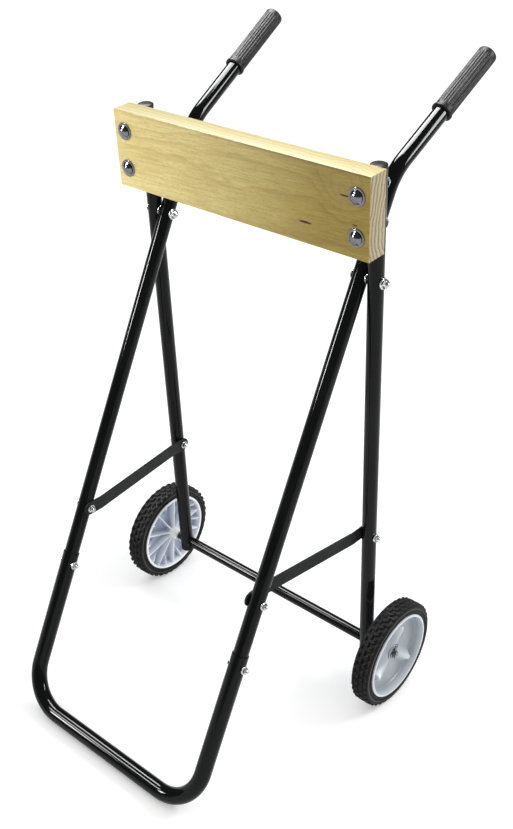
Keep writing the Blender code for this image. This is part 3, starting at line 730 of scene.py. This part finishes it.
def foot_frame():
    """The U-shaped foot, which slides over the front legs and lies on the floor."""
    floor_reach = DOWN_FRONT * ((PIVOT.z - FOOT_R) / -DOWN_FRONT.z)
    seam = DOWN_FRONT * ((FOOT_BOLT - PIVOT).length - SEAM_ABOVE_FOOT_BOLT)
    left, right = PIVOT - X_AXIS * FRONT_X, PIVOT + X_AXIS * FRONT_X
    corners = [left + seam, left + floor_reach, right + floor_reach, right + seam]
    put("foot_frame", tube(bent(corners, [0, FOOT_BEND_R, FOOT_BEND_R, 0], 20), FOOT_R, FOOT_EDGE))


def cross_tube():
    """The tube round the axle between the rear legs. Its ends are cut to a saddle that fits the legs."""
    shape = bmesh.new()
    inside = AXLE_R + GAP
    reach = TUBE_R + GAP

    def end_ring(radius, sign):
        ring = []
        for step in range(TUBE_SIDES):
            angle = math.tau * step / TUBE_SIDES
            y, z = radius * math.cos(angle), radius * math.sin(angle)
            off = Vector((0.0, y, z)).dot(OUT_FRONT)
            inset = math.sqrt(max(reach * reach - off * off, 0.0))
            ring.append(shape.verts.new((sign * (REAR_X - inset), AXLE.y + y, AXLE.z + z)))
        return ring

    rings = [end_ring(CROSS_R, -1), end_ring(CROSS_R, 1), end_ring(inside, 1), end_ring(inside, -1)]
    bridge(shape, rings, closed=True)
    put("cross_tube", shape)


# ---- board and braces


def clamp_board():
    """The wooden plank, with rounded edges, flat on the fronts of the rear legs."""
    shape = bmesh.new()
    bmesh.ops.create_cube(shape, size=1.0, matrix=Matrix.Diagonal((*BOARD, 1.0)))
    bmesh.ops.bevel(shape, geom=shape.edges[:], offset=BOARD_EDGE, segments=3, profile=0.5, affect="EDGES")
    lean = math.atan2(-UP_REAR.y, UP_REAR.z)
    put("clamp_board", shape, Matrix.Translation(middle("clamp_board")) @ Matrix.Rotation(lean, 4, "X"))


def braces():
    """Flat bars with round ends that cross from the rear leg's inner side to the front leg's."""
    span = BRACE_FRONT - BRACE_REAR
    length = span.length
    along = span.normalized()
    upward = X_AXIS.cross(along)
    half = BRACE_W / 2
    near = REAR_X - TUBE_R - GAP
    far = FRONT_X - TUBE_R - GAP
    turn_steps, runs = 12, 10

    def round_end(bolt, start):
        angles = [math.radians(start + 180 * step / turn_steps) for step in range(turn_steps + 1)]
        return [(bolt + half * math.cos(angle), half * math.sin(angle)) for angle in angles]

    straight = [BRACE_FLAT + (length - 2 * BRACE_FLAT) * step / runs for step in range(runs + 1)]
    outer = round_end(0.0, 90) + [(station, -half) for station in straight]
    outer += round_end(length, -90) + [(station, half) for station in reversed(straight)]

    for side, sign in SIDES:
        shape = bmesh.new()

        def ring(inset, depth):
            corners = []
            for station, up in outer:
                middle_station = min(max(station, 0.0), length)
                station_in = middle_station + (station - middle_station) * (1 - inset / half)
                ramp = min(max((station - BRACE_FLAT) / (length - 2 * BRACE_FLAT), 0.0), 1.0)
                x = near + (far - near) * ramp - depth
                place = BRACE_REAR + along * station_in + upward * up * (1 - inset / half)
                corners.append(shape.verts.new(place + X_AXIS * sign * x))
            return corners

        rings = [ring(BRACE_EDGE, 0.0), ring(0.0, BRACE_EDGE)]
        rings += [ring(0.0, BRACE_T - BRACE_EDGE), ring(BRACE_EDGE, BRACE_T)]
        bridge(shape, rings)
        for flat in (rings[0], rings[-1]):
            fill_strip(shape, flat, turn_steps + 1, runs + 1)
        put("brace_" + side, shape)


def fill_strip(shape, ring, turn_count, run_count):
    """Faces across a long outline: a fan over each round end and quads between the two straight sides."""
    first_turn = ring[:turn_count]
    lower = ring[turn_count:turn_count + run_count]
    second_turn = ring[turn_count + run_count:2 * turn_count + run_count]
    upper = ring[2 * turn_count + run_count:]
    shape.faces.new([*first_turn, lower[0], upper[-1]])
    shape.faces.new([*second_turn, upper[0], lower[-1]])
    for index in range(run_count - 1):
        shape.faces.new((lower[index], lower[index + 1], upper[-2 - index], upper[-1 - index]))


# ---- fasteners


def nut(size):
    """A domed flange nut standing on Z = 0: a round flange, a chamfered hexagon and a dome."""
    steps = 72
    flat = size["hex"] * math.cos(math.radians(30))
    face_r = flat * 0.97
    high = size["height"] * HEX_HEIGHT

    def hexagon(top, chamfer):
        """A six-sided ring. With a chamfer, its corners drop below its top in that slope."""
        def station(step):
            angle = math.tau * step / steps
            radius = flat / math.cos(angle % math.radians(60) - math.radians(30))
            return radius, top - chamfer * (radius - face_r), angle
        return station

    dome_r = size["dome"]
    dome = [(0.0, size["height"])]
    for step in range(1, 8):
        angle = math.radians(90 - 78 * step / 7)
        dome.append((dome_r * math.cos(angle), size["height"] - dome_r * (1 - math.sin(angle))))
    stations = dome + [(dome_r, high + 0.0004), (dome_r + 0.0002, high), (face_r, high), hexagon(high, 0.58)]
    stations += [hexagon(FLANGE_T + 0.0003, 0.0)]
    flange = [(size["hex"] + 0.0003, FLANGE_T, 0), (size["flange"], FLANGE_T * 0.75, 0.0005)]
    stations += outline([*flange, (size["flange"], 0.0, 0.0003)])
    stations += [(size["shank"] + GAP, 0.0), (size["shank"] + GAP, NUT_BORE * 0.9), (0.0, NUT_BORE)]
    return turned(stations, steps)


def bolt(size, length):
    """A dome-headed bolt with its bearing face at Z = 0, its shank up and its head below."""
    head, shank = size["head"], size["shank"]
    low, rim = -HEAD_HEIGHT * head, -HEAD_RIM
    dome_r = head * 0.97
    ball = ((low - rim) ** 2 + dome_r ** 2) / (2 * (rim - low))
    corners = [(0.0, length, 0), (shank, length, 0.0006), (shank, 0.0, 0.0002)]
    stations = outline([*corners, (head, 0.0, 0.0002), (head, rim, 0.0003)])
    for step in range(1, 10):
        angle = math.asin(dome_r / ball) * (1 - step / 10)
        stations.append((ball * math.sin(angle), low + ball * (1 - math.cos(angle))))
    return turned(stations + [(0.0, low)], 40)


def washer(inner, outer, thickness):
    """A flat ring standing on Z = 0, with rolled edges."""
    roll = min(0.0005, thickness * 0.4)
    corners = [(outer, thickness, roll), (outer, 0.0, roll * 0.5)]
    corners += [(inner, 0.0, 0.0002), (inner, thickness, 0.0002)]
    return turned(outline(corners, 3, closed=True), 48, closed=True)


def cross_fastener(name, point, low_x, high_x, size, side):
    """A bolt along X with its head at low_x and its domed nut at high_x."""
    length = high_x - low_x + GAP + NUT_BORE * BORE_FILLED
    put(name % "bolt" + side, bolt(size, length), at((low_x - GAP, point.y, point.z), X_AXIS))
    put(name % "nut" + side, nut(size), at((high_x + GAP, point.y, point.z), X_AXIS))


def frame_fasteners():
    """The cross bolts of the pivots, the braces and the foot. All heads face -X and all nuts face +X."""
    plate = GAP + BRACE_T
    for side, sign in SIDES:
        outer = (sign * REAR_X - TUBE_R, sign * REAR_X + TUBE_R)
        inner = (sign * FRONT_X - TUBE_R, sign * FRONT_X + TUBE_R)
        cross_fastener("pivot_%s_", PIVOT, min(outer[0], inner[0]), max(outer[1], inner[1]), M8, side)
        spacer_x = middle("pivot_washer_" + side).x - half_size("pivot_washer_" + side).x
        place = at((spacer_x, PIVOT.y, PIVOT.z), X_AXIS)
        put("pivot_washer_" + side, washer(M8["shank"] + GAP, PIVOT_WASHER_R, WASHER_T), place)
        brace_bolts = (("brace_rear_%s_", BRACE_REAR, outer), ("brace_front_%s_", BRACE_FRONT, inner))
        for name, point, (low, high) in brace_bolts:
            low_x = low - plate if sign > 0 else low
            high_x = high if sign > 0 else high + plate
            cross_fastener(name, point, low_x, high_x, M6, side)
        cross_fastener("foot_%s_", FOOT_BOLT, sign * FRONT_X - FOOT_R, sign * FRONT_X + FOOT_R, M6, side)


def board_fasteners():
    """A domed bolt and a wide washer on the board's front, and a nut behind the leg, at each corner."""
    for side, _ in SIDES:
        for level in ("lower", "upper"):
            end = "_%s_%s" % (level, side)
            seat = middle("board_washer" + end)
            under = at(seat - OUT_FRONT * WASHER_T / 2, OUT_FRONT)
            ring = washer(M8["shank"] + GAP, BOARD_WASHER_R, WASHER_T)
            put("board_washer" + end, ring, under, look="chrome_painted_dark")
            head = at(seat + OUT_FRONT * (WASHER_T / 2 + GAP), -OUT_FRONT)
            back = (seat - AXLE).dot(OUT_FRONT) + TUBE_R + GAP
            length = back + WASHER_T / 2 + GAP + NUT_BORE * BORE_FILLED
            put("board_bolt" + end, bolt(BOARD_BOLT, length), head, look="chrome_painted_dark")
            put("board_nut" + end, nut(M8), at(seat - OUT_FRONT * back, -OUT_FRONT))


# ---- axle and wheels


def axle():
    """The axle rod, and what holds each wheel on it: a spacer inside, a washer and a hairpin clip outside,
    and a screw behind the leg."""
    bar = [(0.0, AXLE_HALF, 0), (AXLE_R, AXLE_HALF, 0.001)]
    bar += [(AXLE_R, -AXLE_HALF, 0.001), (0.0, -AXLE_HALF, 0)]
    put("axle_rod", turned(outline(bar, 4), 40), at(AXLE, X_AXIS), look="chrome_painted_dark")
    for side, sign in SIDES:
        outward = X_AXIS * sign
        start = at(AXLE + outward * (REAR_X + TUBE_R + GAP), outward)
        put("wheel_spacer_" + side, washer(BORE_R, SPACER_R, SPACER_LENGTH), start)
        outside = at(AXLE + outward * (WHEEL_X + BOSS_OUT + GAP), outward)
        put("axle_washer_" + side, washer(BORE_R, AXLE_WASHER_R, WASHER_T), outside, look="chrome_painted_dark")
        behind = at(AXLE + outward * REAR_X - OUT_FRONT * (TUBE_R + GAP), OUT_FRONT)
        put("axle_lock_screw_" + side, bolt(LOCK_SCREW, LOCK_SCREW_LENGTH), behind)
        put("hub_clip_" + side, clip(), Matrix.Translation(AXLE + outward * CLIP_X), look="chrome_painted_dark")


def clip():
    """A wire hairpin clip: a straight leg through the axle, a loop, and a leg that hugs the axle's side."""
    hug = AXLE_R + 2 * GAP + CLIP_WIRE_R
    loop_z = 0.015
    loop_r = 0.0035
    points = [Vector((0.0, 0.0, z)) for z in (-0.012, 0.0, loop_z)]
    for degrees in range(160, -101, -20):
        angle = math.radians(degrees)
        points.append(Vector((0.0, loop_r * (1 + math.cos(angle)), loop_z + loop_r * math.sin(angle))))
    for degrees in range(70, -61, -13):
        angle = math.radians(degrees)
        points.append(Vector((0.0, hug * math.cos(angle), hug * math.sin(angle))))
    points.append(Vector((0.0, 0.0062, -0.0105)))
    return wire(points, CLIP_WIRE_R)


def smooth_step(value):
    value = min(max(value, 0.0), 1.0)
    return value * value * (3 - 2 * value)


def ridge_rise(radius, angle):
    """How far a ridge that runs along angle 0 stands out of the web: a crest that climbs towards its blunt,
    rounded end, with sloping flanks that run together round the hub's centre."""
    away = (angle + math.pi) % math.tau - math.pi
    along, across = radius * math.cos(away), abs(radius * math.sin(away))
    if along <= 0:
        return 0.0
    crest = RIDGE_LOW + (RIDGE_HIGH - RIDGE_LOW) * min(along / RIDGE_END, 1.1)
    over_end = max(along - RIDGE_END, 0.0) / RIDGE_ROUND
    down_flank = max(across - RIDGE_CREST, 0.0) / RIDGE_FLANK
    slope = max(1.0 - down_flank, 0.0)
    return crest * math.sqrt(max(1.0 - over_end * over_end, 0.0)) * slope ** 1.3


def hub():
    """The moulded hub about Z, outer face up. Its inner face has long and short ribs, and its outer face has
    three broad ridges that rise towards the rim."""
    per_rib = 12
    steps = RIBS * per_rib
    pitch = math.tau / RIBS

    def place_on_rib(step, radius):
        """The angle of a step, gathered at the sides of a rib, whether the step is on the rib's top, and
        whether the rib is a short one."""
        index, part = divmod(step, per_rib)
        wide = min((RIB_T / 2 + RIB_DRAFT) / radius, pitch * 0.24)
        narrow = min(RIB_T / 2 / radius, wide * 0.7)
        between = [wide + (pitch - 2 * wide) * share / 8 for share in range(1, 8)]
        offset = [-wide, -narrow, 0.0, narrow, wide, *between][part]
        return index * pitch + offset, part in (1, 2, 3), index % 2 == 1

    def inner(radius, height):
        """A ring of the inner face, lifted to the rib tops where a rib passes."""
        def station(step):
            angle, on_top, is_short = place_on_rib(step, radius)
            if not on_top:
                return radius, height, angle
            share = 1.0
            if is_short:
                share = min(max((radius - SHORT_RIB_START) / SHORT_RIB_CLIMB, 0.0), 1.0)
            return radius, min(height, height + (RIB_TOP - height) * share), angle
        return station

    def outer(radius, height):
        """A ring of the outer face, raised over the ridges."""
        def station(step):
            angle = math.tau * step / steps
            rises = [ridge_rise(radius, angle - math.tau * ridge / RIDGES) for ridge in range(RIDGES)]
            return radius, height + max(rises), angle
        return station

    # The bore, the inner boss and the web between it and the barrel.
    stations = [(BORE_R, BOSS_OUT), (BORE_R, -BOSS_IN)]
    stations += [(BOSS_END_R - 0.0008, -BOSS_IN), (BOSS_END_R, 0.0008 - BOSS_IN)]
    stations += [inner(BOSS_R, RIB_TOP), inner(BOSS_R + 0.0004, WEB[0] - 0.001)]
    start, span = BOSS_R + 0.0014, BARREL_R - BOSS_R - 0.0028
    stations += [inner(start + span * step / 14, WEB[0]) for step in range(15)]
    stations += [inner(BARREL_R - 0.0004, WEB[0] - 0.001), inner(BARREL_R, WEB[0] - 0.003)]
    stations += [inner(BARREL_R + 0.0005, -0.01), inner(BARREL_R + 0.001, RIB_TOP)]

    # The rim, the tyre's seat and the outer dish, back to the outer boss.
    rim = [(BARREL_R + 0.0014, -RIM_HALF, 0.0007), (RIM_R, -RIM_HALF, 0.0012), (RIM_R, -SEAT_HALF, 0.0003)]
    rim += [(SEAT_R, -SEAT_HALF, 0), (SEAT_R, SEAT_HALF, 0), (RIM_R, SEAT_HALF, 0.0003)]
    rim += [(RIM_R, RIM_HALF, 0.0012), (BARREL_R + 0.0012, RIM_HALF, 0.0007), (BARREL_R, WEB[1], 0.004)]
    dish_r = BARREL_R - 0.008
    stations += outline([(BARREL_R + 0.0011, RIB_TOP - 0.0004, 0), *rim, (dish_r, WEB[1], 0)], 5)[:-1]
    rings = 26
    stations += [outer(dish_r - (dish_r - BOSS_OUT_R) * step / rings, WEB[1]) for step in range(rings)]
    boss = [(BOSS_OUT_R + 0.001, WEB[1], 0), (BOSS_OUT_R, WEB[1], 0.0008), (BOSS_OUT_R, BOSS_OUT, 0.001)]
    stations += outline([*boss, (BORE_R + 0.0004, BOSS_OUT, 0)], 4)
    return turned(stations, steps, closed=True)


def tread(turn, across):
    """How far the tyre's surface stands up, from 0 to 1: turn counts tread pitches round the tyre and across
    runs from -1 to 1 over its width. Two rows of slanted, notched blocks lie between two rows of shoulder
    blocks, and a low ring closes each edge."""
    side = 1.0 if across > 0 else -1.0
    away = abs(across)
    in_middle = away < 0.56
    if in_middle:
        row_middle, half_width, half_length = 0.28, 0.225, 0.34
        shift, slant = 0.25 * side, 0.55
    else:
        row_middle, half_width, half_length = 0.76, 0.165, 0.33
        shift, slant = 0.5 + 0.25 * side, 0.3
    phase = (turn + shift + slant * (away - row_middle)) % 1.0 - 0.5
    lengthwise = smooth_step((half_length - abs(phase)) / 0.1)
    widthwise = smooth_step((half_width - abs(away - row_middle)) / 0.06)
    notch = 1.0
    if in_middle:
        slot = smooth_step((0.085 - abs(phase + 0.02)) / 0.06)
        notch -= 0.75 * slot * smooth_step((away - 0.26) / 0.08)
    shoulder_ring = 0.4 * smooth_step((away - 0.94) / 0.06)
    return max(lengthwise * widthwise * notch, shoulder_ring)


def tyre():
    """The tyre about Z. Its tread and shoulders carry blocks, and its smooth walls carry a bead ring."""
    steps = TREAD_PITCHES * TREAD_STEPS
    inner = SEAT_R + GAP
    clear = RIM_R + GAP
    bead = SEAT_HALF - GAP
    crown = WHEEL_R - TREAD_DEPTH
    flat, reach, count = 0.8, 1.22, 44

    # The tread's base: (radius, height, lean, lift, across) from one edge to the other. It is nearly flat in
    # the middle and bends over both shoulders.
    base = []
    for index in range(count + 1):
        across = -reach + 2 * reach * index / count
        if abs(across) <= flat:
            base.append((crown - TYRE_CROWNING * across * across, across * TYRE_WALL, 0.0, 1.0, across))
            continue
        bend = min((abs(across) - flat) / (reach - flat), 1.0) * math.radians(82)
        side = 1.0 if across > 0 else -1.0
        centre = crown - TYRE_CROWNING * flat * flat - TYRE_SHOULDER_R
        radius = centre + TYRE_SHOULDER_R * math.cos(bend)
        z = (flat * TYRE_WALL + TYRE_SHOULDER_R * math.sin(bend)) * side
        base.append((radius, z, math.sin(bend) * side, math.cos(bend), across))

    def raised(radius, height, lean, lift, across):
        """A ring of the tread: blocks stand out along the surface's own direction."""
        def station(step):
            out = TREAD_DEPTH * tread(step / TREAD_STEPS, across)
            return radius + out * lift, height + out * lean * 0.45, math.tau * step / steps
        return station

    # The wall, as (distance past the rim, depth below the wall's plane, fillet): a bead ring and a thin rib.
    profile = ((0.0006, 0.0006, 0.0006), (0.0026, -0.0004, 0.0008), (0.0044, 0.001, 0.001))
    profile += ((0.008, 0.0012, 0.0006), (0.009, -0.0003, 0.0006), (0.0112, 0.0002, 0.0006))
    side_wall = [(inner, -bead, 0), (clear, -bead, 0.0003)]
    side_wall += [(clear + past, below - TYRE_WALL, fillet) for past, below, fillet in profile]
    low_wall = outline(side_wall, 4)
    high_wall = [(r, -z) for r, z in reversed(low_wall)]
    stations = low_wall + [raised(*ring) for ring in base] + high_wall
    return turned(stations, steps, closed=True)


def wheels():
    """Both wheels, each turned about its axle to where its ridges and ribs stand at rest."""
    for side, sign in SIDES:
        place = at(AXLE + X_AXIS * sign * WHEEL_X, X_AXIS * sign)
        for name, shape, sharp in (("hub_", hub(), 40), ("tyre_", tyre(), 60)):
            shape.transform(Matrix.Rotation(WHEEL_SPIN[side], 4, "Z"))
            put(name + side, shape, place, sharp)


# ---- stage


def floor():
    """A large plain floor, a little bright of itself so that it stays pale far from the lamps."""
    shape = bmesh.new()
    bmesh.ops.create_grid(shape, x_segments=1, y_segments=1, size=20.0)
    mesh = bpy.data.meshes.new("floor")
    shape.to_mesh(mesh)
    shape.free()
    ground = bpy.data.objects.new("floor", mesh)
    bpy.context.scene.collection.objects.link(ground)
    pale = Paint("floor", specular=0.1)
    pale.set("Base Color", (0.92, 0.92, 0.92, 1.0))
    pale.set("Roughness", 0.9)
    pale.set("Emission Color", (1.0, 1.0, 1.0, 1.0))
    pale.set("Emission Strength", 0.18)
    mesh.materials.append(MATERIALS["floor"])


def area_light(name, place, target, size, power, gloss_only):
    """A rectangular lamp that gives either highlights only or light for the matt surfaces only. Where its
    target is straight below it, its width runs along X and its depth along Y."""
    data = bpy.data.lights.new(name, "AREA")
    data.shape = "RECTANGLE"
    data.size, data.size_y = size
    data.energy = power
    lamp = bpy.data.objects.new(name, data)
    bpy.context.scene.collection.objects.link(lamp)
    lamp.location = place
    lamp.rotation_mode = "QUATERNION"
    lamp.rotation_quaternion = (target - Vector(place)).to_track_quat("-Z", "Y")
    lamp.visible_camera = False
    lamp.visible_glossy = gloss_only
    lamp.visible_diffuse = not gloss_only


def studio():
    """Even white light all round that reflects dimly, a soft key from behind and above, and softboxes that
    draw the highlights."""
    world = bpy.data.worlds.new("studio")
    bpy.context.scene.world = world
    world.use_nodes = True
    tree = world.node_tree
    soft = tree.nodes["Background"]
    soft.inputs["Color"].default_value = (1.0, 1.0, 1.0, 1.0)
    soft.inputs["Strength"].default_value = 1.0
    dim = tree.nodes.new("ShaderNodeBackground")
    dim.inputs["Color"].default_value = (0.94, 0.97, 1.0, 1.0)
    dim.inputs["Strength"].default_value = 0.12
    ray = tree.nodes.new("ShaderNodeLightPath")
    pick = tree.nodes.new("ShaderNodeMixShader")
    tree.links.new(ray.outputs["Is Glossy Ray"], pick.inputs[0])
    tree.links.new(soft.outputs[0], pick.inputs[1])
    tree.links.new(dim.outputs[0], pick.inputs[2])
    tree.links.new(pick.outputs[0], tree.nodes["World Output"].inputs["Surface"])
    middle_of_dolly = Vector((0.0, 0.0, 0.5))
    area_light("key", (1.9, 2.1, 2.7), middle_of_dolly, (1.2, 1.2), 45.0, False)
    area_light("softbox_right", (2.1, 1.1, 1.9), middle_of_dolly, (0.5, 1.2), 84.0, True)
    area_light("softbox_left", (-1.6, -2.0, 1.45), middle_of_dolly, (0.35, 0.5), 56.0, True)
    overhead = (
        ("softbox_front", (-1.6, -1.45), (0.9, 0.55), 84.0),
        ("softbox_top", (-0.85, 0.5), (1.9, 0.7), 215.0),
    )
    for name, (x, y), size, power in overhead:
        area_light(name, (x, y, 2.5), Vector((x, y, 0.0)), size, power, True)


def camera():
    """The camera, turned to look down at the front right of the dolly, with a slight roll."""
    azimuth, elevation, roll = math.radians(39.87), math.radians(30.84), math.radians(0.745)
    level = math.cos(elevation)
    back = Vector((math.sin(azimuth) * level, -math.cos(azimuth) * level, math.sin(elevation)))
    right = Vector((math.cos(azimuth), math.sin(azimuth), 0.0))
    up = back.cross(right)
    rolled_right = right * math.cos(roll) + up * math.sin(roll)
    rolled_up = up * math.cos(roll) - right * math.sin(roll)
    data = bpy.data.cameras.new("camera")
    data.sensor_width = 36.0
    data.lens = 47.64
    eye = bpy.data.objects.new("camera", data)
    bpy.context.scene.collection.objects.link(eye)
    turn = Matrix((rolled_right, rolled_up, back)).transposed().to_4x4()
    eye.matrix_world = Matrix.Translation((1.0406, -1.1891, 1.4819)) @ turn
    bpy.context.scene.camera = eye


# ---- make it

rear_legs()
front_legs()
foot_frame()
cross_tube()
clamp_board()
braces()
frame_fasteners()
board_fasteners()
axle()
wheels()
floor()
studio()
camera()
bpy.context.scene.view_settings.view_transform = "Standard"
